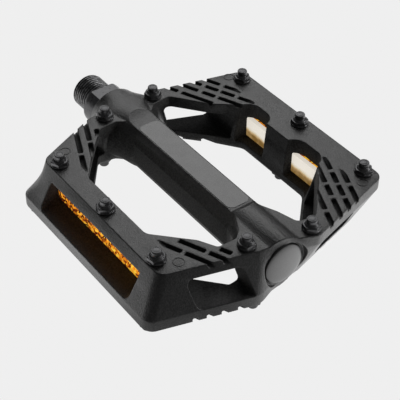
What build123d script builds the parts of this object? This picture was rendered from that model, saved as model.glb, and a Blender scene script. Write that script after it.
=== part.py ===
from build123d import *
import os
from math import cos, radians, sin, sqrt, tan

# A flat bicycle pedal: a moulded platform that turns on a spindle, on two rows of balls.
# Millimetres. Shapes are laid out about the middle of the platform, on the spindle axis, with
# +X away from the crank, +Y to the long side of the top face and +Z up. On export they move along X,
# so that the origin is the shoulder of the spindle that seats against the crank.
# The platform is the same after half a turn about X, so each face is shaped once and turned.

# ---- driving dimensions ----
SHOULDER_TO_CENTRE = 67.4

# platform
HALF_THICK = 9.5
BAND_Z = 5.0
SHORT_Y = -44.0
LONG_Y = 52.1
BOSS_RADIUS = 10.9
INBOARD_END = -59.0
OUTBOARD_END = 48.8
TUBE_TOP_HALF = 5.2
TUBE_SIDE_Y = 7.95
TUBE_SIDE_Z = 4.25
HUMP_BLEND = 4.0
HUMP_START = 25.5
SCOOP_START = -35.3
SCOOP_RADIUS = 20.6

# tread
SLOT_WIDTH = 1.7
SLOT_DEPTH = 1.5
SLOT_ANGLE = 23.5

# reflectors
POCKET_HALF = 29.0
POCKET_LOW = -3.0
WINDOW_LOW = -4.9
POCKET_HIGH = 5.75
POCKET_BACK = 39.5
LENS_FACE = 43.4
TRAY_WALL = 1.0
TRAY_DEPTH = 1.8

# traction pins
PIN_BASE_FLATS = 6.0
PIN_BASE_HIGH = 1.9
PIN_FOOT_RADIUS = 3.45
PIN_STUD_RADIUS = 1.95
PIN_HIGH = 4.45
PIN_SHANK_RADIUS = 1.6
PIN_SHANK_LONG = 3.0

# spindle
THREAD_MAJOR_RADIUS = 14.288 / 2
THREAD_PITCH = 25.4 / 20
THREAD_LONG = 11.8
COLLAR_RADIUS = 9.1
WRENCH_FLATS = 15.0
FLAT_LONG = 7.6
SPINDLE_ROOT_RADIUS = 5.2
SPINDLE_TIP_RADIUS = 3.0

# bearings
BALL_RADIUS = 3.175 / 2
BALL_GAP = 0.05
INNER_ROW_X = -52.6
INNER_ROW_RADIUS = 6.35
INNER_BALLS = 10
OUTER_ROW_X = 40.4
OUTER_ROW_RADIUS = 5.4
OUTER_BALLS = 9
INNER_CUP_RADIUS = 8.75
OUTER_CUP_RADIUS = 7.8
CAP_BORE_RADIUS = 8.1
CAP_RIM_RADIUS = 8.05
CAP_POCKET_RADIUS = 9.3
CAP_POCKET_X = 48.9
BORE_RADIUS = 6.2

HALF_TURN = Rot(X=180)
ACROSS_X = Plane(origin=(0, 0, 0), x_dir=(0, 1, 0), z_dir=(1, 0, 0))


def moved_off_centre(x):
    return ACROSS_X.offset(x)


def rod(radius, x_from, x_to):
    """A cylinder along the spindle axis."""
    return extrude(moved_off_centre(x_from) * Circle(radius), x_to - x_from)


def turned(profile):
    """A solid of revolution about the spindle axis, from (x, radius) points."""
    face = Plane.XZ * make_face(Polyline(*profile, close=True))
    return revolve(face, Axis.X)


def rounded_face(points, radii):
    return make_face(FilletPolyline(*points, radius=radii, close=True))


def blend(a, b, share):
    """Points a share of the way from list a to list b."""
    return [tuple(p + (q - p) * share for p, q in zip(u, v)) for u, v in zip(a, b)]


def flipped(points):
    """The same outline seen after half a turn about X, listed the same way round."""
    return [(x, -y) for x, y in reversed(points)]


# ---- platform: outer shape ----
# Half outlines of the top face. The front half runs outboard, the rear half runs back inboard.
FRONT_HALF = [(-50.2, -16.5), (-37.7, SHORT_Y), (37.6, SHORT_Y), (47.3, -9.0)]
REAR_HALF = [(53.0, 12.6), (41.8, LONG_Y), (-41.7, LONG_Y), (-50.8, 16.5)]
FRONT_RADII = [6.0, 4.6, 4.6, 8.0]
REAR_RADII = [3.6, 4.6, 4.6, 6.0]


def platform_level(front, rear, waist, z):
    """One outline of the platform, lying at height z."""
    points = front + [waist] + rear
    radii = FRONT_RADII + [8.0] + REAR_RADII
    return Pos(0, 0, z) * rounded_face(points, radii)


def hull():
    """The platform's outside: an upright band under the long side of each face, then slanted walls."""
    share = (HALF_THICK - BAND_Z) / (HALF_THICK + BAND_Z)
    front_mid = blend(FRONT_HALF, flipped(REAR_HALF), share)
    rear_mid = flipped(front_mid)
    top = platform_level(FRONT_HALF, REAR_HALF, (48.9, 2.5), HALF_THICK)
    upper = platform_level(front_mid, REAR_HALF, (49.3, 1.5), BAND_Z)
    lower = platform_level(flipped(REAR_HALF), rear_mid, (49.3, -1.5), -BAND_Z)
    bottom = platform_level(flipped(REAR_HALF), flipped(FRONT_HALF), (48.9, -2.5), -HALF_THICK)
    layers = [loft([a, b], ruled=True) for a, b in ((upper, top), (lower, upper), (bottom, lower))]
    return layers[0] + layers[1] + layers[2]


# ---- platform: openings either side of the tube ----
OPENING_TOP = [
    (-42.3, -9.5), (-41.8, -16.8), (-29.0, -28.5), (-19.3, -35.8), (17.5, -35.8), (30.5, -23.2),
    (37.2, -19.6), (37.4, -12.2), (34.6, -8.8), (27.6, -TUBE_TOP_HALF), (-39.5, -TUBE_TOP_HALF),
]
OPENING_BOTTOM = [
    (-43.6, -9.6), (-44.4, -17.0), (-30.6, -27.6), (-22.6, -37.6), (22.8, -37.6), (31.5, -30.2),
    (44.2, -18.0), (43.0, -10.8), (34.6, -8.4), (27.6, -TUBE_TOP_HALF), (-39.5, -TUBE_TOP_HALF),
]
OPENING_RADII = [2.4, 2.6, 2.0, 5.0, 4.0, 3.5, 1.4, 2.6, 3.0, 3.0, 2.0]


def opening():
    """The front opening, wider below than above. The rear one is the same after half a turn."""
    top = Pos(0, 0, HALF_THICK) * rounded_face(OPENING_TOP, OPENING_RADII)
    bottom = Pos(0, 0, -HALF_THICK) * rounded_face(OPENING_BOTTOM, OPENING_RADII)
    above = extrude(top, 2.0)
    below = extrude(bottom, -2.0)
    return loft([bottom, top], ruled=True) + above + below


def lobe(x_from, x_to):
    """A round-headed scallop down the inner wall of the rear bar, as far as the reflector ledge."""
    points = [(x_from, 34.0), (x_from, 41.9), (x_to, 41.9), (x_to, 34.0)]
    face = rounded_face(points, [0.0, 5.6, 5.6, 0.0])
    return Pos(0, 0, -6.6) * extrude(face, HALF_THICK + 8.0)


def pocket_outline(y, low, half):
    """The reflector pocket's outline on the plane that is y in front of the spindle axis."""
    points = [(-half, low), (half, low), (half, POCKET_HIGH), (-half, POCKET_HIGH)]
    return Plane.XZ.offset(y) * rounded_face(points, [2.4, 2.4, 0.8, 0.8])


def reflector_pocket():
    """The pocket in the front face for the front reflector. Its floor falls towards the window."""
    seat = extrude(pocket_outline(POCKET_BACK, POCKET_LOW, POCKET_HALF), LENS_FACE - POCKET_BACK)
    inner = pocket_outline(LENS_FACE, POCKET_LOW, POCKET_HALF)
    outer = pocket_outline(53.5, WINDOW_LOW, POCKET_HALF + 0.3)
    return seat + loft([inner, outer], ruled=True)


def side_tunnel(x_from, x_to):
    """A window through a front side wall into the front opening."""
    points = [(-36.2, 5.8), (-16.2, 5.8), (-14.0, -4.9), (-34.4, -4.9)]
    face = moved_off_centre(x_from) * rounded_face(points, [2.4, 2.6, 1.0, 2.2])
    return extrude(face, x_to - x_from)


# ---- platform: tube and bosses ----
def tube_section(side_y, side_z, x):
    """The tube's eight-sided section, flush with both faces of the platform."""
    half = TUBE_TOP_HALF
    points = [
        (half, HALF_THICK), (side_y, side_z), (side_y, -side_z), (half, -HALF_THICK),
        (-half, -HALF_THICK), (-side_y, -side_z), (-side_y, side_z), (-half, HALF_THICK),
    ]
    return moved_off_centre(x) * make_face(Polyline(*points, close=True))


def tube():
    """The centre tube, which widens into the outboard wall."""
    stations = [
        (-49.0, TUBE_SIDE_Y, TUBE_SIDE_Z), (27.2, TUBE_SIDE_Y, TUBE_SIDE_Z),
        (36.5, 11.4, 5.4), (44.0, 11.6, 5.5),
    ]
    faces = [tube_section(side_y, side_z, x) for x, side_y, side_z in stations]
    pieces = [loft([a, b], ruled=True) for a, b in zip(faces, faces[1:])]
    whole = pieces[0]
    for piece in pieces[1:]:
        whole = whole + piece
    return whole


def hump(x_from, x_to):
    """The round back of a boss where it stands out of the top face, blended into it on both sides."""
    blend_z = HALF_THICK + HUMP_BLEND
    reach = BOSS_RADIUS + HUMP_BLEND
    blend_y = sqrt(reach**2 - blend_z**2)
    foot = Vector(blend_y, HALF_THICK)
    joint = Vector(blend_y, blend_z) * (BOSS_RADIUS / reach)
    towards = Vector(-blend_y / reach, -blend_z / reach - 1).normalized()
    middle = Vector(blend_y, blend_z) + towards * HUMP_BLEND
    under = 8.0
    with BuildSketch(moved_off_centre(x_from)) as profile:
        with BuildLine():
            Polyline((-foot.X, HALF_THICK), (-foot.X, under), (foot.X, under), (foot.X, HALF_THICK))
            ThreePointArc((foot.X, foot.Y), (middle.X, middle.Y), (joint.X, joint.Y))
            ThreePointArc((joint.X, joint.Y), (0, BOSS_RADIUS), (-joint.X, joint.Y))
            ThreePointArc((-joint.X, joint.Y), (-middle.X, middle.Y), (-foot.X, HALF_THICK))
        make_face()
    return extrude(profile.sketch, x_to - x_from)


def flare():
    """The inboard boss. It swells from its round mouth into the end wall, then narrows to the tube."""
    stations = [
        (-59.0, 10.9), (-57.0, 11.8), (-54.5, 13.9), (-52.0, 16.2), (-49.5, 17.0), (-46.5, 15.6),
        (-43.5, 13.9), (-40.4, 12.1), (-36.0, 10.5), (-33.0, 9.0),
    ]
    faces = [moved_off_centre(x) * Ellipse(half_y + 0.001, BOSS_RADIUS) for x, half_y in stations]
    faces.append(moved_off_centre(-30.5) * Ellipse(TUBE_SIDE_Y - 0.2, HALF_THICK - 0.7))
    return loft(faces)


def above_profile(points, arc=None):
    """A cutter the width of a boss, from its outline seen along Y."""
    with BuildSketch(Plane.XZ.offset(-12.0)) as profile:
        with BuildLine():
            Polyline(*points)
            if arc:
                ThreePointArc(*arc)
            else:
                Line(points[-1], points[0])
        make_face()
    return extrude(profile.sketch, 24.0)


def ramp_cut():
    """Taken off the outboard hump, so that it rises from the tube's flat top along a short slope."""
    high = BOSS_RADIUS + 1
    return above_profile([
        (HUMP_START - 1, HALF_THICK), (HUMP_START, HALF_THICK), (HUMP_START + 2.3, BOSS_RADIUS),
        (HUMP_START + 4.3, high + 0.2), (HUMP_START - 1, high + 0.2),
    ])


def scoop_cut():
    """Taken off the inboard boss over the tube. Its hollow runs out on the round back of the boss."""
    def height(x):
        return HALF_THICK + (SCOOP_START - x) ** 2 / (2 * SCOOP_RADIUS)
    end = SCOOP_START - 9.0
    middle = SCOOP_START - 4.5
    foot = (SCOOP_START, HALF_THICK)
    head = (end, height(end))
    points = [foot, (-20.0, HALF_THICK), (-20.0, 14.0), (end, 14.0), head]
    return above_profile(points, [head, (middle, height(middle)), foot])


# ---- platform: tread ----
# Rows of slots, as (offset of the row from the middle, spans along |x|), for the two ends of each half.
REAR_ROWS = [
    (51.8, [(39.2, 48.0), (30.2, 37.3)]),
    (47.8, [(43.3, 52.0), (36.3, 41.6), (29.5, 34.9), (21.0, 27.7)]),
    (43.6, [(40.9, 54.0), (33.7, 39.0), (21.5, 32.2)]),
    (39.1, [(45.3, 56.0), (30.5, 43.5)]),
]
FRONT_ROWS = [
    (-32.6, [(38.6, 42.6)]),
    (-36.2, [(38.0, 50.0), (27.0, 36.6)]),
    (-40.5, [(33.4, 48.0), (22.0, 32.0)]),
]
REAR_TREAD_EDGE = 42.4
FRONT_TREAD_EDGE = -34.8


def slot(side, lean, offset, near, far):
    """One slot on the top face. lean is 1 where rows fall away from the middle, -1 where they rise."""
    angle = radians(SLOT_ANGLE)
    centre = offset - SLOT_WIDTH / 2
    middle_x = (near + far) / 2
    middle_y = (centre - lean * sin(angle) * middle_x) / cos(angle)
    length = (far - near) / cos(angle)
    block = Box(length, SLOT_WIDTH, 2 * SLOT_DEPTH)
    return Pos(side * middle_x, middle_y, HALF_THICK) * Rot(Z=-side * lean * SLOT_ANGLE) * block


def tread_window(y_edge, direction):
    """The space that slots may use. It ends in a slope, so that they fade out along a straight line."""
    reach = 40.0 * direction
    floor = HALF_THICK - SLOT_DEPTH
    points = [
        (y_edge, HALF_THICK), (y_edge - 2.2 * direction, floor - 0.1),
        (y_edge - reach, floor - 0.1), (y_edge - reach, HALF_THICK + 2), (y_edge, HALF_THICK + 2),
    ]
    face = moved_off_centre(-60.0) * make_face(Polyline(*points, close=True))
    return extrude(face, 120.0)


def tread_slots():
    """All the slots of the top face."""
    cuts = []
    for rows, lean, edge, direction in (
        (REAR_ROWS, 1, REAR_TREAD_EDGE, 1),
        (FRONT_ROWS, -1, FRONT_TREAD_EDGE, -1),
    ):
        window = tread_window(edge, direction)
        for offset, spans in rows:
            for near, far in spans:
                for side in (-1, 1):
                    piece = slot(side, lean, offset, near, far)
                    cuts.append(piece & window)
    return cuts


# ---- platform: places of the traction pins on the top face ----
PIN_PLACES = [
    (-32.3, -40.2), (-1.1, -40.2), (30.4, -40.2), (-36.8, 48.0), (-0.6, 48.0), (35.7, 48.0),
    (-47.2, -11.2), (-48.2, 12.0), (42.3, -11.3), (48.4, 12.3),
]


def pin_hole(x, y):
    """The blind hole for a pin's shank, and the flat seat around it."""
    hole = Pos(x, y, HALF_THICK - PIN_SHANK_LONG / 2) * Cylinder(PIN_SHANK_RADIUS, PIN_SHANK_LONG)
    seat = Pos(x, y, HALF_THICK + 1) * Cylinder(PIN_FOOT_RADIUS + 0.05, 2)
    return hole + seat


def bearing_bore():
    """The bore for the spindle, with seats for the collar, seal, cups and cap."""
    steps = [
        (9.5, INBOARD_END - 1, -57.4), (INNER_CUP_RADIUS, -58.0, -49.6), (BORE_RADIUS, -50.0, 39.0),
        (OUTER_CUP_RADIUS, 37.6, 44.0), (CAP_BORE_RADIUS, 43.0, 56.0),
        (CAP_POCKET_RADIUS, CAP_POCKET_X, 56.0),
    ]
    return [rod(*step) for step in steps]


def outboard_hump(voids):
    """The round back of the outboard boss, kept inside the top outline and clear of the openings."""
    outline = platform_level(FRONT_HALF, REAR_HALF, (48.9, 2.5), 7.0)
    ridge = hump(HUMP_START, 53.0) & extrude(outline, 6.0)
    return ridge - ramp_cut() - voids - HALF_TURN * voids


def platform():
    """The moulded body."""
    voids = opening()
    ridge = outboard_hump(voids)
    scoop = scoop_cut()
    boss = flare() - scoop - HALF_TURN * scoop
    body = hull() - voids - HALF_TURN * voids
    body = body + tube() + boss + rod(BOSS_RADIUS, 38.0, CAP_POCKET_X - 1.5)
    body = body + ridge + HALF_TURN * ridge
    cuts = [reflector_pocket(), lobe(5.2, 22.7), lobe(-22.9, -7.7)]
    cuts += [side_tunnel(24.0, 60.0), side_tunnel(-60.0, -24.0)]
    cuts += tread_slots()
    cuts += [pin_hole(x, y) for x, y in PIN_PLACES]
    both = cuts + [HALF_TURN * cut for cut in cuts]
    body = body - both
    return body - bearing_bore()


# ---- reflectors ----
def reflector_plate(y_back, y_front, gap):
    """A plate with the reflector pocket's outline, less a gap all round, between two depths."""
    low = POCKET_LOW + gap
    high = POCKET_HIGH - gap
    half = POCKET_HALF - gap
    points = [(-half, low), (half, low), (half, high), (-half, high)]
    low_round = 2.4 - gap
    high_round = max(0.8 - gap, 0.2)
    face = Plane.XZ.offset(y_back) * rounded_face(points, [low_round, low_round, high_round, high_round])
    return extrude(face, y_front - y_back)


def reflector_lens():
    """The prism plate, with the step behind it that fits into the tray."""
    tray_edge = POCKET_BACK + TRAY_DEPTH
    plate = reflector_plate(tray_edge, LENS_FACE, 0.05)
    return plate + reflector_plate(POCKET_BACK + TRAY_WALL, tray_edge, TRAY_WALL + 0.1)


def reflector_back():
    """The tray behind the prism plate."""
    tray = reflector_plate(POCKET_BACK, POCKET_BACK + TRAY_DEPTH, 0.05)
    return tray - reflector_plate(POCKET_BACK + TRAY_WALL, POCKET_BACK + TRAY_DEPTH + 1, TRAY_WALL + 0.05)


# ---- traction pins ----
def traction_pin():
    """A stud on a hexagon seat, with the shank that holds it in the platform."""
    seat = extrude(RegularPolygon(PIN_BASE_FLATS / 2, 6, major_radius=False), PIN_BASE_HIGH)
    seat = chamfer(seat.faces().sort_by(Axis.Z)[-1].edges(), 0.35)
    foot = Cylinder(PIN_FOOT_RADIUS, 0.5, align=(Align.CENTER, Align.CENTER, Align.MIN))
    stud = Cylinder(PIN_STUD_RADIUS, PIN_HIGH, align=(Align.CENTER, Align.CENTER, Align.MIN))
    stud = chamfer(stud.faces().sort_by(Axis.Z)[-1].edges(), 0.3)
    shank = Cylinder(PIN_SHANK_RADIUS, PIN_SHANK_LONG, align=(Align.CENTER, Align.CENTER, Align.MAX))
    return seat + foot + stud + shank


# ---- spindle and what is on it ----
def thread_profile(x_start, x_end, major, root, pitch):
    """(x, radius) points of ring-shaped ridges. The last crest ends at x_end."""
    flank = (major - root) * tan(radians(30))
    crest = pitch * 7 / 8 - 2 * flank
    count = int((x_end - x_start - crest) / pitch)
    first = x_end - crest - count * pitch
    points = []
    for turn in range(count):
        x = first + turn * pitch
        points.append((x, major))
        points.append((x + crest, major))
        points.append((x + crest + flank, root))
        points.append((x + pitch - flank, root))
    points.append((x_end - crest, major))
    points.append((x_end, major))
    return points


def race(x_centre, radius_centre, start, end, steps=8):
    """(x, radius) points along the arc of a ball race. Angles are from +X towards the outside."""
    reach = BALL_RADIUS + BALL_GAP
    turns = [radians(start + (end - start) * i / steps) for i in range(steps + 1)]
    return [(x_centre + reach * cos(t), radius_centre + reach * sin(t)) for t in turns]


def spindle():
    """The spindle: crank thread, undercut shoulder, wrench collar, cone race, tapered shaft and tip thread."""
    shoulder = -SHOULDER_TO_CENTRE
    crank_end = shoulder - THREAD_LONG
    root = THREAD_MAJOR_RADIUS - 0.72
    thread = thread_profile(crank_end + 0.8, shoulder - 0.45, THREAD_MAJOR_RADIUS, root, THREAD_PITCH)
    cone = race(INNER_ROW_X, INNER_ROW_RADIUS, 180, 290)
    neck = SPINDLE_TIP_RADIUS - 0.6
    tip = thread_profile(OUTER_ROW_X + 0.4, 46.6, SPINDLE_TIP_RADIUS, SPINDLE_TIP_RADIUS - 0.55, 1.0)
    profile = [(crank_end, 0), (crank_end, root - 0.1), (crank_end + 0.6, root - 0.1)]
    profile += thread
    profile += [
        (shoulder - 0.2, root - 0.2), (shoulder + 0.25, root - 0.2),
        (shoulder, THREAD_MAJOR_RADIUS + 0.16), (shoulder, COLLAR_RADIUS - 0.4),
        (shoulder + 0.4, COLLAR_RADIUS), (-57.9, COLLAR_RADIUS), (-57.6, COLLAR_RADIUS - 0.3),
        (-57.6, cone[0][1]),
    ]
    profile += cone
    profile += [
        (-50.2, SPINDLE_ROOT_RADIUS), (-45.0, SPINDLE_ROOT_RADIUS), (34.0, SPINDLE_TIP_RADIUS + 0.4),
        (38.0, SPINDLE_TIP_RADIUS + 0.4), (38.4, neck),
    ]
    profile += tip
    profile += [(47.0, neck), (47.0, 0)]
    hollow = [(crank_end - 1, 0), (crank_end - 1, 2.6), (crank_end + 0.1, 2.6), (crank_end + 2.4, 0)]
    solid = turned(profile) - turned(hollow)
    for turn in (Rot(X=0), HALF_TURN):
        block = Pos(shoulder + FLAT_LONG / 2, 0, WRENCH_FLATS / 2 + 5) * Box(FLAT_LONG, 30, 10)
        solid = solid - turn * block
    return solid


def ring(x_from, x_to, inner, outer):
    return rod(outer, x_from, x_to) - rod(inner, x_from - 1, x_to + 1)


def inboard_cup():
    arc = race(INNER_ROW_X, INNER_ROW_RADIUS, 88, 0)
    profile = [(-54.6, INNER_CUP_RADIUS), (-54.6, arc[0][1]), (arc[0][0] - 0.1, arc[0][1])]
    profile += arc
    profile += [(arc[-1][0] + 0.1, 5.8), (-49.6, 5.8), (-49.6, INNER_CUP_RADIUS)]
    return turned(profile)


def outboard_cup():
    arc = race(OUTER_ROW_X, OUTER_ROW_RADIUS, 180, 92)
    profile = [(37.6, OUTER_CUP_RADIUS), (37.6, 5.0), (arc[0][0] - 0.1, 5.0)]
    profile += arc
    profile += [(42.4, arc[-1][1]), (42.4, OUTER_CUP_RADIUS)]
    return turned(profile)


def outboard_cone():
    """The adjustable cone, threaded on the spindle's tip."""
    arc = race(OUTER_ROW_X, OUTER_ROW_RADIUS, 262, 360)
    bore = SPINDLE_TIP_RADIUS
    profile = [(arc[0][0], bore)]
    profile += arc
    profile += [(43.6, arc[-1][1]), (43.6, bore)]
    return turned(profile)


def lock_washer():
    """A washer whose inner tab lies in the spindle's keyway side of the tip thread."""
    return ring(43.6, 44.5, SPINDLE_TIP_RADIUS, 5.8)


def lock_nut():
    hexagon = moved_off_centre(44.5) * RegularPolygon(5.5, 6, major_radius=False)
    nut = extrude(hexagon, 2.4)
    return nut - rod(SPINDLE_TIP_RADIUS, 40.0, 50.0)


def seal():
    """The rubber lip seal between the spindle's collar and the inboard cup."""
    outer = INNER_CUP_RADIUS
    profile = [
        (-57.2, outer), (-57.2, 7.4), (-56.2, 6.9), (-55.6, 6.9), (-55.6, 7.5), (-54.9, 7.5),
        (-54.9, outer),
    ]
    return turned(profile)


def dust_cap():
    """The domed cap pressed into the outboard end."""
    rim = CAP_RIM_RADIUS
    edge = 49.3
    dome = [(edge + 0.9 * cos(radians(t)), rim * sin(radians(t))) for t in range(0, 91, 6)]
    return turned(dome + [(44.1, rim), (44.1, 7.2), (48.6, 7.2), (48.6, 0)])


# ---- balls and their cages ----
def ball_row(x, radius, count):
    ball = Pos(x, 0, radius) * Sphere(BALL_RADIUS)
    return [Rot(X=360 * i / count) * ball for i in range(count)]


def ball_cage(x, radius, count, lean):
    """A ring beside the balls with a hollow for each. lean is the side along X that it lies on."""
    near = x + lean * 0.9
    far = x + lean * 1.8
    band = ring(min(near, far), max(near, far), radius + 0.25, radius + 1.5)
    hollow = Pos(x, 0, radius) * Sphere(BALL_RADIUS + 0.08)
    return band - [Rot(X=360 * i / count) * hollow for i in range(count)]


# ---- writing the parts ----
def write(name, shape):
    shape = Pos(SHOULDER_TO_CENTRE, 0, 0) * shape
    export_step(shape, f"parts/{name}.step")


def main():
    os.makedirs("parts", exist_ok=True)
    write("platform", platform())
    write("front_reflector_lens", reflector_lens())
    write("front_reflector_back", reflector_back())
    write("rear_reflector_lens", HALF_TURN * reflector_lens())
    write("rear_reflector_back", HALF_TURN * reflector_back())
    pin = traction_pin()
    for number, (x, y) in enumerate(PIN_PLACES, start=1):
        placed = Pos(x, y, HALF_THICK) * pin
        write(f"top_pin_{number:02d}", placed)
        write(f"bottom_pin_{number:02d}", HALF_TURN * placed)
    write("spindle", spindle())
    write("inboard_bearing_cup", inboard_cup())
    write("outboard_bearing_cup", outboard_cup())
    write("outboard_cone", outboard_cone())
    write("keyed_lock_washer", lock_washer())
    write("lock_nut", lock_nut())
    write("inboard_seal", seal())
    write("dust_cap", dust_cap())
    write("inboard_balls", Compound(ball_row(INNER_ROW_X, INNER_ROW_RADIUS, INNER_BALLS)))
    write("outboard_balls", Compound(ball_row(OUTER_ROW_X, OUTER_ROW_RADIUS, OUTER_BALLS)))
    write("inboard_ball_cage", ball_cage(INNER_ROW_X, INNER_ROW_RADIUS, INNER_BALLS, -1))
    write("outboard_ball_cage", ball_cage(OUTER_ROW_X, OUTER_ROW_RADIUS, OUTER_BALLS, 1))


main()
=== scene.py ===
import math

import bmesh
import bpy
from mathutils import Matrix, Vector
from mathutils.bvhtree import BVHTree


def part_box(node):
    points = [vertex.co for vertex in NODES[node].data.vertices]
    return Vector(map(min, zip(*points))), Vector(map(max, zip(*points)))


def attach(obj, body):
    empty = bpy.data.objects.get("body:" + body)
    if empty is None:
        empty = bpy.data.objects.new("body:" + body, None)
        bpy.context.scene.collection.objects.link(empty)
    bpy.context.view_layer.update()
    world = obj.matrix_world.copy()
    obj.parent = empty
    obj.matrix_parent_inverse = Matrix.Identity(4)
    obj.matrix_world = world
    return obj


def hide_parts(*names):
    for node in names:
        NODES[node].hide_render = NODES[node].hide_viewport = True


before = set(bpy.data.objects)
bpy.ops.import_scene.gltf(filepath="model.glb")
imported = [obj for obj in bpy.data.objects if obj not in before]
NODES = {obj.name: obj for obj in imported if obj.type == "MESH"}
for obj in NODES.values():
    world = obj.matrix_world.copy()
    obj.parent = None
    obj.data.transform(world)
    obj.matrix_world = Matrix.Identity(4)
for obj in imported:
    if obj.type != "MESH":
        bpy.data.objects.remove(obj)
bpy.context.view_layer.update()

# The looks of a flat bicycle pedal, built round its CAD model. Metres, in the CAD model's frame:
# the origin is the shoulder of the spindle, +X runs along the spindle away from the crank and +Z is up.
# The platform is the same after half a turn about X, so what one face has, the other has too.

MM = 0.001

# ---- places taken from the CAD model ----
PIN_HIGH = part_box("top_pin_01")[1]
LENS_LOW, LENS_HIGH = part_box("front_reflector_lens")
SPINDLE_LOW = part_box("spindle")[0]
FLOOR_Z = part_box("bottom_pin_01")[0].z
PIN_TALL = 4.45 * MM
TUBE_Z = 9.5 * MM
FACE_Z = PIN_HIGH.z - PIN_TALL
MIDDLE_X = (LENS_LOW.x + LENS_HIGH.x) / 2
HALF_TURN = Matrix.Rotation(math.pi, 4, "X")

# ---- camera ----
CAMERA_PLACE = (0.32609, -0.19292, 0.27003)
CAMERA_TURN = (49.514, -0.693, 53.841)
CAMERA_LENS = 101.82


# ---- mesh helpers ----
def new_object(name, mesh):
    piece = bpy.data.objects.new(name, mesh)
    bpy.context.scene.collection.objects.link(piece)
    return piece


def object_from(name, work):
    """A new object from a bmesh, which is freed."""
    mesh = bpy.data.meshes.new(name)
    work.to_mesh(mesh)
    work.free()
    return new_object(name, mesh)


def apply_modifiers(piece):
    """Replaces the piece's mesh with what its modifiers make of it."""
    depsgraph = bpy.context.evaluated_depsgraph_get()
    made = bpy.data.meshes.new_from_object(piece.evaluated_get(depsgraph))
    piece.modifiers.clear()
    piece.data = made


def smooth_shaded(piece):
    piece.data.polygons.foreach_set("use_smooth", [True] * len(piece.data.polygons))
    piece.data.update()


def softened(piece, voxel, passes, most_faces):
    """Rounds every edge a little, as moulding and finishing do, and keeps the face count down."""
    remesh = piece.modifiers.new("remesh", "REMESH")
    remesh.mode = "VOXEL"
    remesh.voxel_size = voxel
    smooth = piece.modifiers.new("smooth", "SMOOTH")
    smooth.factor = 0.5
    smooth.iterations = passes
    apply_modifiers(piece)
    triangles = 2 * len(piece.data.polygons)
    if triangles > most_faces:
        decimate = piece.modifiers.new("decimate", "DECIMATE")
        decimate.ratio = most_faces / triangles
        apply_modifiers(piece)
    smooth_shaded(piece)
    return piece


def welded_copy(node):
    """A bmesh with the shape of a CAD node, closed along its seams."""
    work = bmesh.new()
    work.from_mesh(NODES[node].data)
    bmesh.ops.remove_doubles(work, verts=work.verts, dist=1e-7)
    return work


def lathed(work, outline, sides=64):
    """Adds a closed solid of revolution about Z. Its (radius, height) points start and end on the axis."""
    rings = []
    for radius, height in outline[1:-1]:
        ring = []
        for i in range(sides):
            angle = 2 * math.pi * i / sides
            ring.append(work.verts.new((radius * math.cos(angle), radius * math.sin(angle), height)))
        rings.append(ring)
    first = work.verts.new((0, 0, outline[0][1]))
    last = work.verts.new((0, 0, outline[-1][1]))
    for i in range(sides):
        j = (i + 1) % sides
        work.faces.new((first, rings[0][j], rings[0][i]))
        work.faces.new((last, rings[-1][i], rings[-1][j]))
        for near, far in zip(rings, rings[1:]):
            work.faces.new((near[i], near[j], far[j], far[i]))


def prism(work, corners, low, high):
    """Adds an upright prism over a convex outline of (x, y) corners listed anticlockwise."""
    bottom = [work.verts.new((x, y, low)) for x, y in corners]
    top = [work.verts.new((x, y, high)) for x, y in corners]
    work.faces.new(bottom[::-1])
    work.faces.new(top)
    count = len(corners)
    for i in range(count):
        j = (i + 1) % count
        work.faces.new((bottom[i], bottom[j], top[j], top[i]))


def closed_loops(work, loops, ends=True):
    """Adds a skin through loops of points that all have the same count, and caps it or joins its ends."""
    rings = [[work.verts.new(point) for point in loop] for loop in loops]
    pairs = list(zip(rings, rings[1:]))
    if ends:
        work.faces.new(rings[0][::-1])
        work.faces.new(rings[-1])
    else:
        pairs.append((rings[-1], rings[0]))
    count = len(rings[0])
    for near, far in pairs:
        for i in range(count):
            j = (i + 1) % count
            work.faces.new((near[i], near[j], far[j], far[i]))


def kept_between(work, low_x, high_x):
    """Cuts a closed bmesh down to the stretch between two planes across X, and closes the cuts."""
    for place, side in ((low_x, -1), (high_x, 1)):
        parts = work.verts[:] + work.edges[:] + work.faces[:]
        bmesh.ops.bisect_plane(
            work, geom=parts, plane_co=(place, 0, 0), plane_no=(side, 0, 0), clear_outer=True,
        )
        open_edges = [edge for edge in work.edges if edge.is_boundary]
        bmesh.ops.holes_fill(work, edges=open_edges)
    return work


def joined(name, pieces):
    """One object holding the meshes of several, which are removed."""
    work = bmesh.new()
    for piece in pieces:
        work.from_mesh(piece.data)
        bpy.data.objects.remove(piece)
    bmesh.ops.recalc_face_normals(work, faces=work.faces[:])
    return object_from(name, work)


def rounded_corners(half_x, half_y, radius, steps=8):
    """The outline of a rectangle with rounded corners, anticlockwise."""
    points = []
    for quarter, (sx, sy) in enumerate(((1, 1), (-1, 1), (-1, -1), (1, -1))):
        for i in range(steps + 1):
            angle = math.pi / 2 * (quarter + i / steps)
            x = sx * (half_x - radius) + radius * math.cos(angle)
            y = sy * (half_y - radius) + radius * math.sin(angle)
            points.append((x, y))
    return points


# ---- materials ----
RECESS = "recess"
CREST = "crest"
# painted light along the lens: what its inboard end loses and its outboard end gains, on the scale of the
# prisms' colours
LENS_PAINTED_SHADE_INBOARD = -0.14
LENS_PAINTED_LIGHT_OUTBOARD = 0.22


def new_material(name):
    """A material with its node tree, and the tree's shader."""
    material = bpy.data.materials.new(name)
    material.use_nodes = True
    tree = material.node_tree
    shader = tree.nodes["Principled BSDF"]
    return material, tree, shader


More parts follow.
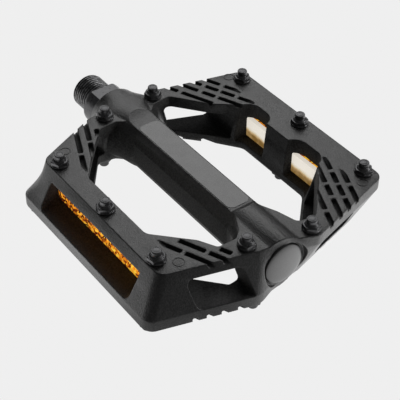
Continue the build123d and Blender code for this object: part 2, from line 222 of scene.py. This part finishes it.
def object_noise(tree, scale, detail, stretch=(1, 1, 1)):
    """Noise fixed to the piece, with scale as features per metre."""
    coords = tree.nodes.new("ShaderNodeTexCoord")
    mapping = tree.nodes.new("ShaderNodeMapping")
    mapping.inputs["Scale"].default_value = stretch
    noise = tree.nodes.new("ShaderNodeTexNoise")
    noise.inputs["Scale"].default_value = scale
    noise.inputs["Detail"].default_value = detail
    tree.links.new(coords.outputs["Object"], mapping.inputs["Vector"])
    tree.links.new(mapping.outputs["Vector"], noise.inputs["Vector"])
    return noise.outputs["Fac"]


def ramp(tree, source, stops):
    """Colours along a value. stops are (place, colour)."""
    node = tree.nodes.new("ShaderNodeValToRGB")
    elements = node.color_ramp.elements
    for place, colour in stops[2:]:
        elements.new(place)
    for element, (place, colour) in zip(elements, stops):
        element.position = place
        element.color = (*colour, 1)
    tree.links.new(source, node.inputs["Fac"])
    return node.outputs["Color"]


def spread(tree, source, low, high):
    """A value from 0.3 to 0.7 stretched from low to high."""
    node = tree.nodes.new("ShaderNodeMapRange")
    node.inputs["From Min"].default_value = 0.3
    node.inputs["From Max"].default_value = 0.7
    node.inputs["To Min"].default_value = low
    node.inputs["To Max"].default_value = high
    tree.links.new(source, node.inputs["Value"])
    return node.outputs["Result"]


def bump(tree, shader, source, distance):
    """Raises the shading by up to a distance in metres where the source is high."""
    node = tree.nodes.new("ShaderNodeBump")
    node.inputs["Strength"].default_value = 1.0
    node.inputs["Distance"].default_value = distance
    tree.links.new(source, node.inputs["Height"])
    tree.links.new(node.outputs["Normal"], shader.inputs["Normal"])


def moulded_nylon(name, dark, light, rough, grain, dull=0.0):
    """Glass-filled nylon: faintly mottled, with the fine grain of a spark-eroded mould.

    dull is how much rougher it is in recesses, where no shoe or hand has polished it."""
    material, tree, shader = new_material(name)
    mottle = object_noise(tree, 1500, 4)
    colour = ramp(tree, mottle, [(0.38, (dark,) * 3), (0.62, (light,) * 3)])
    tree.links.new(colour, shader.inputs["Base Color"])
    cloudy = object_noise(tree, 250, 3)
    roughness = spread(tree, cloudy, rough - 0.02, rough + 0.02)
    if dull:
        recess = tree.nodes.new("ShaderNodeAttribute")
        recess.attribute_name = RECESS
        total = tree.nodes.new("ShaderNodeMath")
        total.operation = "MULTIPLY_ADD"
        total.inputs[1].default_value = dull
        tree.links.new(recess.outputs["Fac"], total.inputs[0])
        tree.links.new(roughness, total.inputs[2])
        roughness = total.outputs["Value"]
    tree.links.new(roughness, shader.inputs["Roughness"])
    shader.inputs["Specular IOR Level"].default_value = 0.9
    fine = object_noise(tree, 2200, 2)
    bump(tree, shader, fine, grain)
    return material


def blackened_steel():
    """Steel with a thin black finish: glossy and uneven, with a painted highlight on the crests of the
    thread, whose colour is lighter than the roots'.
    """
    material, tree, shader = new_material("blackened_steel")
    worn = object_noise(tree, 700, 5)
    # painted highlight: the thread's crests get a lighter colour than its roots
    crest = tree.nodes.new("ShaderNodeAttribute")
    crest.attribute_name = CREST
    mottle_and_painted_highlight = tree.nodes.new("ShaderNodeMath")
    mottle_and_painted_highlight.operation = "MULTIPLY_ADD"
    tree.links.new(crest.outputs["Fac"], mottle_and_painted_highlight.inputs[0])
    tree.links.new(worn, mottle_and_painted_highlight.inputs[1])
    tree.links.new(worn, mottle_and_painted_highlight.inputs[2])
    stops = [
        (0.4, (0.08, 0.08, 0.083)), (0.7, (0.12, 0.12, 0.124)),
        (0.85, (0.13, 0.13, 0.134)), (1.0, (0.3, 0.3, 0.304)),
    ]
    colour = ramp(tree, mottle_and_painted_highlight.outputs["Value"], stops)
    tree.links.new(colour, shader.inputs["Base Color"])
    shader.inputs["Metallic"].default_value = 0.6
    tree.links.new(spread(tree, worn, 0.26, 0.34), shader.inputs["Roughness"])
    fine = object_noise(tree, 3200, 2)
    bump(tree, shader, fine, 0.004 * MM)
    return material


def bright_steel(name, tone, rough, turned_lines):
    """Ground or plated steel with fine lines left by its machining."""
    material, tree, shader = new_material(name)
    lines = object_noise(tree, 900, 3, stretch=(turned_lines, 1, 1))
    colour = ramp(tree, lines, [(0.3, (tone * 0.8,) * 3), (0.7, (tone,) * 3)])
    tree.links.new(colour, shader.inputs["Base Color"])
    shader.inputs["Metallic"].default_value = 1.0
    tree.links.new(spread(tree, lines, rough * 0.7, rough * 1.3), shader.inputs["Roughness"])
    bump(tree, shader, lines, 0.005 * MM)
    return material


def cage_brass():
    material, tree, shader = new_material("cage_brass")
    dull = object_noise(tree, 600, 4)
    colour = ramp(tree, dull, [(0.3, (0.45, 0.3, 0.1)), (0.7, (0.72, 0.52, 0.22))])
    tree.links.new(colour, shader.inputs["Base Color"])
    shader.inputs["Metallic"].default_value = 1.0
    tree.links.new(spread(tree, dull, 0.3, 0.5), shader.inputs["Roughness"])
    return material


def seal_rubber():
    material, tree, shader = new_material("seal_rubber")
    dusty = object_noise(tree, 1200, 4)
    colour = ramp(tree, dusty, [(0.35, (0.008, 0.008, 0.008)), (0.7, (0.022, 0.022, 0.022))])
    tree.links.new(colour, shader.inputs["Base Color"])
    tree.links.new(spread(tree, dusty, 0.6, 0.85), shader.inputs["Roughness"])
    bump(tree, shader, dusty, 0.02 * MM)
    return material


def amber_prisms():
    """Clear amber plastic. Each small prism throws back light, or looks dark, by itself: these are painted
    glints, set cell by cell at random in its colour. The lens also glows with its own colour, which is
    painted light standing in for light passing through it.

    They get brighter and yellower towards the outboard end, to match how the photograph is lit."""
    material, tree, shader = new_material("amber_prisms")
    coords = tree.nodes.new("ShaderNodeTexCoord")
    cells = tree.nodes.new("ShaderNodeTexVoronoi")
    cells.inputs["Scale"].default_value = 1000
    tree.links.new(coords.outputs["Object"], cells.inputs["Vector"])
    split = tree.nodes.new("ShaderNodeSeparateColor")
    tree.links.new(cells.outputs["Color"], split.inputs["Color"])
    place = tree.nodes.new("ShaderNodeSeparateXYZ")
    tree.links.new(coords.outputs["Object"], place.inputs["Vector"])
    # painted light: the lens's colour gets brighter and yellower from the inboard end to the outboard end
    outboard = tree.nodes.new("ShaderNodeMapRange")
    outboard.inputs["From Min"].default_value = LENS_LOW.x
    outboard.inputs["From Max"].default_value = LENS_HIGH.x
    outboard.inputs["To Min"].default_value = LENS_PAINTED_SHADE_INBOARD
    outboard.inputs["To Max"].default_value = LENS_PAINTED_LIGHT_OUTBOARD
    tree.links.new(place.outputs["X"], outboard.inputs["Value"])
    # painted glints: each prism's random tone, plus the painted light along the lens
    painted_glints_and_light = tree.nodes.new("ShaderNodeMath")
    tree.links.new(split.outputs["Red"], painted_glints_and_light.inputs[0])
    tree.links.new(outboard.outputs["Result"], painted_glints_and_light.inputs[1])
    stops = [
        (0.0, (0.04, 0.006, 0.002)), (0.35, (0.22, 0.035, 0.004)),
        (0.6, (0.8, 0.26, 0.012)), (1.0, (1.0, 0.62, 0.06)),
    ]
    colour = ramp(tree, painted_glints_and_light.outputs["Value"], stops)
    tree.links.new(colour, shader.inputs["Base Color"])
    # painted glow: the lens emits its own colour, in place of light passing through it
    tree.links.new(colour, shader.inputs["Emission Color"])
    shader.inputs["Emission Strength"].default_value = 0.8
    shader.inputs["Roughness"].default_value = 0.12
    shader.inputs["Coat Weight"].default_value = 0.6
    shader.inputs["Coat Roughness"].default_value = 0.05
    return material


def cream_moulding():
    """The pale back of a reflector, painted amber and darker towards the bottom: painted amber light and
    shade from the lens. It also glows with its own colour, which is painted light standing in for light
    passing through it.
    """
    material, tree, shader = new_material("cream_moulding")
    coords = tree.nodes.new("ShaderNodeTexCoord")
    place = tree.nodes.new("ShaderNodeSeparateXYZ")
    tree.links.new(coords.outputs["Object"], place.inputs["Vector"])
    cloudy = object_noise(tree, 420, 3)
    # painted amber light and shade: the colour turns amber and darker towards the bottom
    height = tree.nodes.new("ShaderNodeMapRange")
    for socket, value in (("From Min", -3.6), ("From Max", -0.4)):
        height.inputs[socket].default_value = value * MM
    tree.links.new(place.outputs["Z"], height.inputs["Value"])
    # random cloudiness plus the painted light and shade by height
    uneven = tree.nodes.new("ShaderNodeMath")
    uneven.operation = "MULTIPLY_ADD"
    uneven.inputs[1].default_value = 0.5
    tree.links.new(cloudy, uneven.inputs[0])
    tree.links.new(height.outputs["Result"], uneven.inputs[2])
    stops = [
        (0.2, (0.24, 0.13, 0.03)), (0.5, (0.6, 0.42, 0.2)),
        (0.75, (0.86, 0.76, 0.58)), (1.0, (0.96, 0.9, 0.8)),
    ]
    colour = ramp(tree, uneven.outputs["Value"], stops)
    tree.links.new(colour, shader.inputs["Base Color"])
    # painted glow: the back emits its own colour, in place of light passing through it
    tree.links.new(colour, shader.inputs["Emission Color"])
    shader.inputs["Emission Strength"].default_value = 0.66
    tree.links.new(spread(tree, cloudy, 0.3, 0.4), shader.inputs["Roughness"])
    return material


def paint(piece, material):
    piece.data.materials.clear()
    piece.data.materials.append(material)


# ---- platform ----
COVE_DEEP = 1.5 * MM
COVE_LOW = -5.0 * MM
COVE_STARTS = 31.0 * MM
COVE_FULL = 39.0 * MM
OUTER_WALL_Y = 35.0 * MM
COVE_EDGE = 5.0 * MM
COVE_FACING = 0.35
COVE_INWARD = Vector((0.66, 0.75, 0))


def hollowed_corners(piece):
    """Draws in the slanted wall round the inboard end of each long bar, so that it is a shallow cove."""
    mesh = piece.data
    moved = []
    for vertex in mesh.vertices:
        shift = Vector((0, 0, 0))
        for turn in (Matrix.Identity(4), HALF_TURN):
            place = turn @ vertex.co
            facing = (turn @ vertex.normal).dot(-COVE_INWARD)
            height = (place.z - COVE_LOW) / (FACE_Z - COVE_LOW)
            along = (MIDDLE_X - place.x - COVE_STARTS) / (COVE_FULL - COVE_STARTS)
            out = (-place.y - OUTER_WALL_Y) / COVE_EDGE
            if 0 < height < 1 and along > 0 and out > 0 and facing > COVE_FACING:
                share = min(1, along) * min(1, out) * min(1, (facing - COVE_FACING) / 0.25)
                shift += turn @ (COVE_INWARD * (COVE_DEEP * share * math.sin(math.pi * height)))
        moved.extend(vertex.co + shift)
    mesh.vertices.foreach_set("co", moved)
    mesh.update()


def mark_recesses(piece, reach=0.05, directions=36):
    """Stores how deep in a recess each vertex lies: 0 in the open and 1 where most of its view is blocked."""
    mesh = piece.data
    places = [vertex.co.copy() for vertex in mesh.vertices]
    tree = BVHTree.FromPolygons(places, [tuple(face.vertices) for face in mesh.polygons])
    golden = math.pi * (3 - math.sqrt(5))
    rays = []
    for i in range(directions):
        height = 1 - 2 * (i + 0.5) / directions
        across = math.sqrt(1 - height * height)
        rays.append(Vector((across * math.cos(golden * i), across * math.sin(golden * i), height)))
    values = []
    for vertex in mesh.vertices:
        normal = vertex.normal
        start = vertex.co + normal * (0.25 * MM)
        total = 0.0
        blocked = 0.0
        for ray in rays:
            weight = normal.dot(ray)
            if weight > 0.2:
                total += weight
                if tree.ray_cast(start, ray, reach)[0] is not None:
                    blocked += weight
        values.append(min(1.0, max(0.0, (blocked / total - 0.12) / 0.26)))
    mesh.attributes.new(RECESS, "FLOAT", "POINT").data.foreach_set("value", values)


def platform_body(material):
    """The moulding, with the softly rounded edges that it has all over."""
    piece = object_from("platform_moulding", welded_copy("platform"))
    softened(piece, voxel=0.24 * MM, passes=1, most_faces=190000)
    hollowed_corners(piece)
    mark_recesses(piece)
    paint(piece, material)
    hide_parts("platform")
    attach(piece, "platform")


def tube_panel(side, turn, material):
    """The smooth panel along the middle of the tube, a hair proud of the facet around it."""
    start, end, half_y, corner, proud, edge = (n * MM for n in (-34.0, 24.5, 4.75, 2.4, 0.14, 0.06))
    half_x = (end - start) / 2
    middle = MIDDLE_X + (start + end) / 2
    loops = []
    for inset, height in ((0, TUBE_Z - 0.5 * MM), (0, TUBE_Z + proud - edge), (edge, TUBE_Z + proud)):
        outline = rounded_corners(half_x - inset, half_y - inset, corner - inset)
        loops.append([turn @ Vector((middle + x, y, height)) for x, y in outline])
    work = bmesh.new()
    closed_loops(work, loops)
    piece = object_from(f"tube_panel_{side}", work)
    paint(piece, material)
    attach(piece, "platform")


def moulded_rings(side, turn, material):
    """The small plain circles that the mould leaves near the corners."""
    profile = [(1.82, -0.3), (2.18, -0.3), (2.18, 0.09), (2.1, 0.15), (1.9, 0.15), (1.82, 0.09)]
    work = bmesh.new()
    for x, y in ((35.7, -34.8), (-37.6, -34.9), (-41.3, 44.7), (40.3, 43.5)):
        loops = []
        for radius, height in profile:
            loop = []
            for i in range(48):
                angle = 2 * math.pi * i / 48
                across = (x + radius * math.cos(angle)) * MM
                along = (y + radius * math.sin(angle)) * MM
                loop.append(turn @ Vector((MIDDLE_X + across, along, FACE_Z + height * MM)))
            loops.append(loop)
        closed_loops(work, loops, ends=False)
    piece = object_from(f"moulded_rings_{side}", work)
    smooth_shaded(piece)
    paint(piece, material)
    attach(piece, "platform")


# ---- spindle ----
THREAD_MAJOR = 7.13 * MM
THREAD_DEEP = 0.72 * MM
# 20 threads per inch, the standard pedal thread. In the photograph the crests look 13% further apart.
THREAD_PITCH = 1.27 * MM
THREAD_STEP = 0.09 * MM
THREAD_RUN_OUT = -0.4 * MM
CREST_LOW = THREAD_MAJOR - 0.3 * MM
COLLAR_END = 12.0 * MM


def thread_radius(x, turn):
    """How far the thread's surface is from the axis, at x and a share of a turn round it."""
    root = THREAD_MAJOR - THREAD_DEEP
    phase = ((x / THREAD_PITCH) - turn) % 1
    flank = min(1, max(0, (abs(phase - 0.5) * 2 - 0.14) / 0.62))
    lead_in = (x - SPINDLE_LOW.x) * 0.9 + root - 0.25 * MM
    run_out = root + max(0, -0.5 * MM - x) * 1.6
    return max(root - 0.25 * MM, min(root + THREAD_DEEP * flank, lead_in, run_out))


def helical_thread():
    """The crank thread, a true helix, with the lathe centre in its end."""
    sides = 128
    first = SPINDLE_LOW.x
    count = round((-0.2 * MM - first) / THREAD_STEP)
    stations = [(first + 2.4 * MM, lambda x, turn: 0.1 * MM), (first + 0.1 * MM, lambda x, turn: 2.6 * MM)]
    stations += [(first, lambda x, turn: 2.75 * MM)]
    stations += [(first + THREAD_STEP * i, thread_radius) for i in range(count + 4)]
    loops = []
    for x, radius in stations:
        loop = []
        for i in range(sides):
            angle = 2 * math.pi * i / sides
            reach = radius(x, i / sides)
            loop.append((x, reach * math.cos(angle), reach * math.sin(angle)))
        loops.append(loop)
    work = bmesh.new()
    closed_loops(work, loops)
    return object_from("thread", work)


def spindle(material):
    """The spindle: a cut thread, a wrench collar with its edges broken, and the shaft inside the platform."""
    collar = object_from("collar", kept_between(welded_copy("spindle"), -0.02 * MM, COLLAR_END))
    softened(collar, voxel=0.14 * MM, passes=2, most_faces=50000)
    shaft = object_from("shaft", kept_between(welded_copy("spindle"), COLLAR_END - 0.3 * MM, 1.0))
    piece = joined("crank_spindle", [helical_thread(), collar, shaft])
    smooth_shaded(piece)
    # painted highlight: how near each vertex is to a thread crest, which the steel paints lighter
    values = []
    for vertex in piece.data.vertices:
        above = (math.hypot(vertex.co.y, vertex.co.z) - CREST_LOW) / (THREAD_MAJOR - CREST_LOW)
        values.append(min(1, max(0, above)) if vertex.co.x < THREAD_RUN_OUT else 0)
    piece.data.attributes.new(CREST, "FLOAT", "POINT").data.foreach_set("value", values)
    paint(piece, material)
    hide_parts("spindle")
    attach(piece, "spindle")


# ---- reflectors ----
def reflector_lens(side, outward, material):
    """A lens with rows of small pyramids sunk in the face that looks out."""
    node = f"{side}_reflector_lens"
    low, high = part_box(node)
    face = high.y if outward > 0 else low.y
    pitch, deep, rim = 0.9 * MM, 0.4 * MM, 1.3 * MM
    half = pitch * 0.46
    across = int((high.x - low.x - 2 * rim) / pitch)
    up = int((high.z - low.z - 2 * rim) / pitch)
    start_x = (low.x + high.x) / 2 - pitch * (across - 1) / 2
    start_z = (low.z + high.z) / 2 - pitch * (up - 1) / 2
    work = bmesh.new()
    for i in range(across):
        for j in range(up):
            x = start_x + pitch * i
            z = start_z + pitch * j
            base = [work.verts.new((x + a * half, face + outward * 0.05 * MM, z + b * half))
                    for a, b in ((-1, -1), (1, -1), (1, 1), (-1, 1))]
            tip = work.verts.new((x, face - outward * deep, z))
            work.faces.new(base)
            for k in range(4):
                work.faces.new((base[k - 1], base[k], tip))
    bmesh.ops.recalc_face_normals(work, faces=work.faces[:])
    pyramids = object_from("pyramids", work)
    piece = object_from(f"prismatic_lens_{side}", welded_copy(node))
    cut = piece.modifiers.new("cut", "BOOLEAN")
    cut.operation = "DIFFERENCE"
    cut.solver = "EXACT"
    cut.object = pyramids
    apply_modifiers(piece)
    bpy.data.objects.remove(pyramids)
    paint(piece, material)
    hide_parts(node)
    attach(piece, "platform")


# ---- traction pins ----
PIN_STUD = 1.95 * MM
PIN_HEX_FLATS = 6.0 * MM
PIN_HEX_HIGH = 1.9 * MM
PIN_FOOT = 3.45 * MM
PIN_FOOT_HIGH = 0.5 * MM
PIN_SHANK = 1.6 * MM
PIN_SHANK_LONG = 3.0 * MM


def pin_mesh():
    """One pin standing on z = 0: shank, round foot, hexagon with a turned top, collar and grooved stud."""
    work = bmesh.new()
    rim = PIN_STUD - 0.3 * MM
    stud = [
        (0, -PIN_SHANK_LONG), (PIN_SHANK, -PIN_SHANK_LONG), (PIN_SHANK, 0.2 * MM),
        (PIN_STUD + 0.55 * MM, 0.2 * MM), (PIN_STUD + 0.55 * MM, 2.15 * MM), (PIN_STUD + 0.2 * MM, 2.35 * MM),
        (PIN_STUD - 0.1 * MM, 2.5 * MM), (PIN_STUD - 0.1 * MM, 2.8 * MM), (PIN_STUD, 3.0 * MM),
        (PIN_STUD, PIN_TALL - 0.35 * MM), (rim + 0.15 * MM, PIN_TALL - 0.05 * MM), (rim, PIN_TALL),
        (rim - 0.3 * MM, PIN_TALL), (rim - 0.42 * MM, PIN_TALL - 0.12 * MM), (rim - 0.54 * MM, PIN_TALL),
        (0, PIN_TALL),
    ]
    lathed(work, stud)
    foot = [
        (0, 0), (PIN_FOOT - 0.1 * MM, 0), (PIN_FOOT, 0.1 * MM), (PIN_FOOT, PIN_FOOT_HIGH - 0.15 * MM),
        (PIN_FOOT - 0.15 * MM, PIN_FOOT_HIGH), (0, PIN_FOOT_HIGH),
    ]
    lathed(work, foot)
    across = PIN_HEX_FLATS / 2 / math.cos(math.pi / 6)
    corners = [(across * math.cos(math.pi / 3 * i), across * math.sin(math.pi / 3 * i)) for i in range(6)]
    shape = bmesh.new()
    prism(shape, corners, 0.2 * MM, PIN_HEX_HIGH)
    hexagon = object_from("hexagon", shape)
    cone = bmesh.new()
    edge = PIN_HEX_FLATS / 2
    above = PIN_HEX_HIGH + 0.1 * MM
    lathed(cone, [
        (0, 0), (edge * 1.4, 0), (edge * 1.4, PIN_HEX_HIGH - 0.55 * MM), (edge * 0.9, above), (0, above),
    ])
    trimmer = object_from("trimmer", cone)
    cut = hexagon.modifiers.new("cut", "BOOLEAN")
    cut.operation = "INTERSECT"
    cut.solver = "EXACT"
    cut.object = trimmer
    apply_modifiers(hexagon)
    work.from_mesh(hexagon.data)
    bpy.data.objects.remove(hexagon)
    bpy.data.objects.remove(trimmer)
    model = object_from("pin_model", work)
    softened(model, voxel=0.09 * MM, passes=2, most_faces=7000)
    mesh = model.data
    bpy.data.objects.remove(model)
    return mesh


def pins(material):
    """Every pin, each turned a little differently, as screws end up."""
    shared = pin_mesh()
    for side, flip in (("top", Matrix.Identity(4)), ("bottom", HALF_TURN)):
        for number in range(1, 11):
            node = f"{side}_pin_{number:02d}"
            low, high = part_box(node)
            middle = (low + high) / 2
            face = FACE_Z if side == "top" else -FACE_Z
            twist = Matrix.Rotation(math.radians(23.0 * number), 4, "Z")
            mesh = shared.copy()
            mesh.transform(Matrix.Translation((middle.x, middle.y, face)) @ flip @ twist)
            piece = new_object(f"traction_{node}", mesh)
            paint(piece, material)
            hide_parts(node)
            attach(piece, "platform")


# ---- light, floor and camera ----
FLOOR_HALF = 30.0
FLOOR_TONE = 0.863
# direction, near and far distance, value near and far: the first times the second, plus the third
FLOOR_FADES = [
    ((0.5, 0.85, 0), -0.09, 0.045, 0.95, 0.2),
    ((0.8, -0.6, 0), 0.03, 0.12, 1.0, 0.12),
    ((0, 1, 0), 0.035, 0.065, 0.0, 0.75),
]
# place from the platform's middle, reach and strength
FLOOR_POOLS = [
    ((-0.005, -0.095), 0.055, 1.5),
    ((0.062, 0.025), 0.05, 1.7),
]


def soft_light(name, place, target, width, height, power):
    """A rectangular soft box that looks at a point."""
    lamp = bpy.data.lights.new(name, "AREA")
    lamp.shape = "RECTANGLE"
    lamp.size = width
    lamp.size_y = height
    lamp.energy = power
    holder = bpy.data.objects.new(name, lamp)
    holder.location = place
    aim = Vector(target) - Vector(place)
    holder.rotation_euler = aim.to_track_quat("-Z", "Y").to_euler()
    bpy.context.scene.collection.objects.link(holder)


def floor_fade(tree, direction, near, far, near_value, far_value):
    """A value that changes along a direction across the floor, between two distances from the middle."""
    coords = tree.nodes.new("ShaderNodeTexCoord")
    along = tree.nodes.new("ShaderNodeVectorMath")
    along.operation = "DOT_PRODUCT"
    along.inputs[1].default_value = direction
    tree.links.new(coords.outputs["Object"], along.inputs[0])
    fade = tree.nodes.new("ShaderNodeMapRange")
    start = direction[0] * MIDDLE_X
    fade.inputs["From Min"].default_value = start + near
    fade.inputs["From Max"].default_value = start + far
    fade.inputs["To Min"].default_value = near_value
    fade.inputs["To Max"].default_value = far_value
    tree.links.new(along.outputs["Value"], fade.inputs["Value"])
    return fade.outputs["Result"]


def floor_pool(tree, before, place, reach, strength):
    """Adds a soft round pool of light to a value, at a place counted from the platform's middle."""
    coords = tree.nodes.new("ShaderNodeTexCoord")
    away = tree.nodes.new("ShaderNodeVectorMath")
    away.operation = "DISTANCE"
    away.inputs[1].default_value = (MIDDLE_X + place[0], place[1], FLOOR_Z)
    tree.links.new(coords.outputs["Object"], away.inputs[0])
    fade = tree.nodes.new("ShaderNodeMapRange")
    fade.inputs["From Max"].default_value = reach
    fade.inputs["To Min"].default_value = strength
    fade.inputs["To Max"].default_value = 0.0
    tree.links.new(away.outputs["Value"], fade.inputs["Value"])
    total = tree.nodes.new("ShaderNodeMath")
    tree.links.new(before, total.inputs[0])
    tree.links.new(fade.outputs["Result"], total.inputs[1])
    return total.outputs["Value"]


def pale_floor():
    """A pale floor, one even tone where the camera looks at it.

    What it throws on the pedal is uneven, in place of the reflectors of a studio: see FLOOR_FADES and
    FLOOR_POOLS. A switch on camera rays keeps that unevenness out of the picture of the floor itself."""
    work = bmesh.new()
    work.faces.new([
        work.verts.new((x * FLOOR_HALF, y * FLOOR_HALF, FLOOR_Z))
        for x, y in ((-1, -1), (1, -1), (1, 1), (-1, 1))
    ])
    floor = object_from("floor", work)
    material, tree, shader = new_material("pale_floor")
    shader.inputs["Base Color"].default_value = (0.6, 0.6, 0.6, 1)
    shader.inputs["Roughness"].default_value = 0.9
    shader.inputs["Specular IOR Level"].default_value = 0.0
    fades = [floor_fade(tree, *fade) for fade in FLOOR_FADES]
    light = tree.nodes.new("ShaderNodeMath")
    light.operation = "MULTIPLY_ADD"
    for number, fade in enumerate(fades):
        tree.links.new(fade, light.inputs[number])
    total = light.outputs["Value"]
    for place, reach, strength in FLOOR_POOLS:
        total = floor_pool(tree, total, place, reach, strength)
    shader.inputs["Emission Color"].default_value = (1, 1, 1, 1)
    tree.links.new(total, shader.inputs["Emission Strength"])
    glow = tree.nodes.new("ShaderNodeEmission")
    glow.inputs["Strength"].default_value = FLOOR_TONE
    path = tree.nodes.new("ShaderNodeLightPath")
    mix = tree.nodes.new("ShaderNodeMixShader")
    tree.links.new(path.outputs["Is Camera Ray"], mix.inputs[0])
    tree.links.new(shader.outputs["BSDF"], mix.inputs[1])
    tree.links.new(glow.outputs["Emission"], mix.inputs[2])
    tree.links.new(mix.outputs["Shader"], tree.nodes["Material Output"].inputs["Surface"])
    paint(floor, material)


def studio():
    """Soft light: a dim white world, and two soft boxes behind the pedal and to its right."""
    world = bpy.data.worlds.new("studio")
    world.use_nodes = True
    background = world.node_tree.nodes["Background"]
    background.inputs["Color"].default_value = (1, 1, 1, 1)
    background.inputs["Strength"].default_value = 0.06
    bpy.context.scene.world = world
    target = (MIDDLE_X, 0, 0)
    soft_light("behind", (-0.38, 0.32, 0.48), target, 0.5, 0.4, 1.3)
    soft_light("right", (0.35, 0.5, 0.3), target, 0.3, 0.3, 1.2)
    bpy.context.scene.view_settings.view_transform = "Standard"


def camera():
    lens = bpy.data.cameras.new("camera")
    lens.lens = CAMERA_LENS
    lens.clip_start = 0.01
    holder = bpy.data.objects.new("camera", lens)
    holder.location = CAMERA_PLACE
    holder.rotation_euler = [math.radians(angle) for angle in CAMERA_TURN]
    bpy.context.scene.collection.objects.link(holder)
    bpy.context.scene.camera = holder


def main():
    nylon = moulded_nylon("moulded_nylon", 0.001, 0.026, 0.38, 0.13 * MM, dull=0.6)
    smooth_nylon = moulded_nylon("smooth_nylon", 0.01, 0.014, 0.27, 0.012 * MM)
    cap_nylon = moulded_nylon("cap_nylon", 0.05, 0.06, 0.32, 0.01 * MM)
    steel = blackened_steel()
    bearing = bright_steel("bearing_steel", 0.75, 0.15, 6)
    plated = bright_steel("plated_steel", 0.6, 0.3, 3)
    brass = cage_brass()
    platform_body(nylon)
    for side, turn in (("top", Matrix.Identity(4)), ("bottom", HALF_TURN)):
        tube_panel(side, turn, smooth_nylon)
        moulded_rings(side, turn, nylon)
    spindle(steel)
    pins(steel)
    for node, material in (
        ("dust_cap", cap_nylon), ("inboard_seal", seal_rubber()),
        ("inboard_bearing_cup", bearing), ("outboard_bearing_cup", bearing), ("outboard_cone", bearing),
        ("keyed_lock_washer", plated), ("lock_nut", plated), ("inboard_balls", bearing),
        ("outboard_balls", bearing), ("inboard_ball_cage", brass), ("outboard_ball_cage", brass),
    ):
        paint(NODES[node], material)
    amber = amber_prisms()
    cream = cream_moulding()
    for side, outward in (("front", -1), ("rear", 1)):
        reflector_lens(side, outward, amber)
        paint(NODES[f"{side}_reflector_back"], cream)
    pale_floor()
    studio()
    camera()


main()
